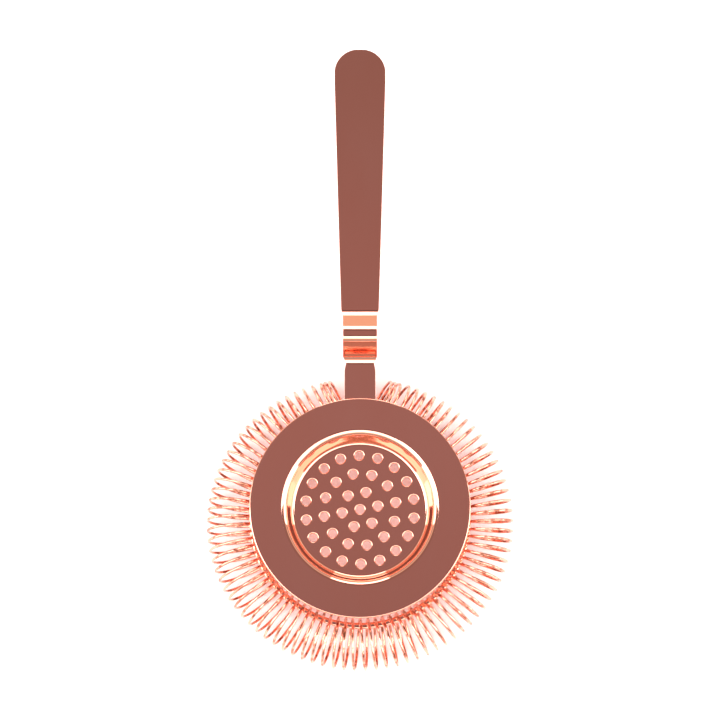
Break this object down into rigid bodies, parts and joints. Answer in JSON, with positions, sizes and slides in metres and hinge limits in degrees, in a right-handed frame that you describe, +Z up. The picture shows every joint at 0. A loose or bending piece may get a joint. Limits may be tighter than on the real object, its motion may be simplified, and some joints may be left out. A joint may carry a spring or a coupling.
{
  "type": "hawthorne strainer",
  "caption": "Hawthorne cocktail strainer: perforated dished plate with a bent strip handle and a coil spring threaded round a rail that grips a shaker mouth.",
  "frame": {"origin": "on the axis of the round plate, in the plane of the plate's underside, where it rests on a rim", "axes": "+Z up out of the plate's top, +Y along the handle towards its round end"},
  "size_m": [0.105, 0.212, 0.0302],
  "materials": {
    "copper_sheet": "polished copper plating on sheet steel",
    "copper_wire": "bright copper plating on spring wire"
  },
  "bodies": {
    "strainer": {"strainer_plate": "copper_sheet", "handle": "copper_sheet", "spring_rail": "copper_wire", "rail_posts": "copper_wire", "spring_turns_01": "copper_wire", "spring_turns_02": "copper_wire", "spring_turns_03": "copper_wire", "spring_turns_04": "copper_wire", "spring_turns_08": "copper_wire", "spring_turns_09": "copper_wire", "spring_turns_10": "copper_wire", "spring_turns_11": "copper_wire"},
    "spring_front": {"spring_turns_05": "copper_wire", "spring_turns_06": "copper_wire", "spring_turns_07": "copper_wire"}
  },
  "joints": [
    {"name": "spring_squeeze", "type": "slide", "parent": "strainer", "child": "spring_front", "axis": [0, 1, 0], "range_m": [0, 0.008], "stiffness_N_per_m": 400, "deforming": ["spring_turns_03", "spring_turns_04", "spring_turns_08", "spring_turns_09"]}
  ]
}
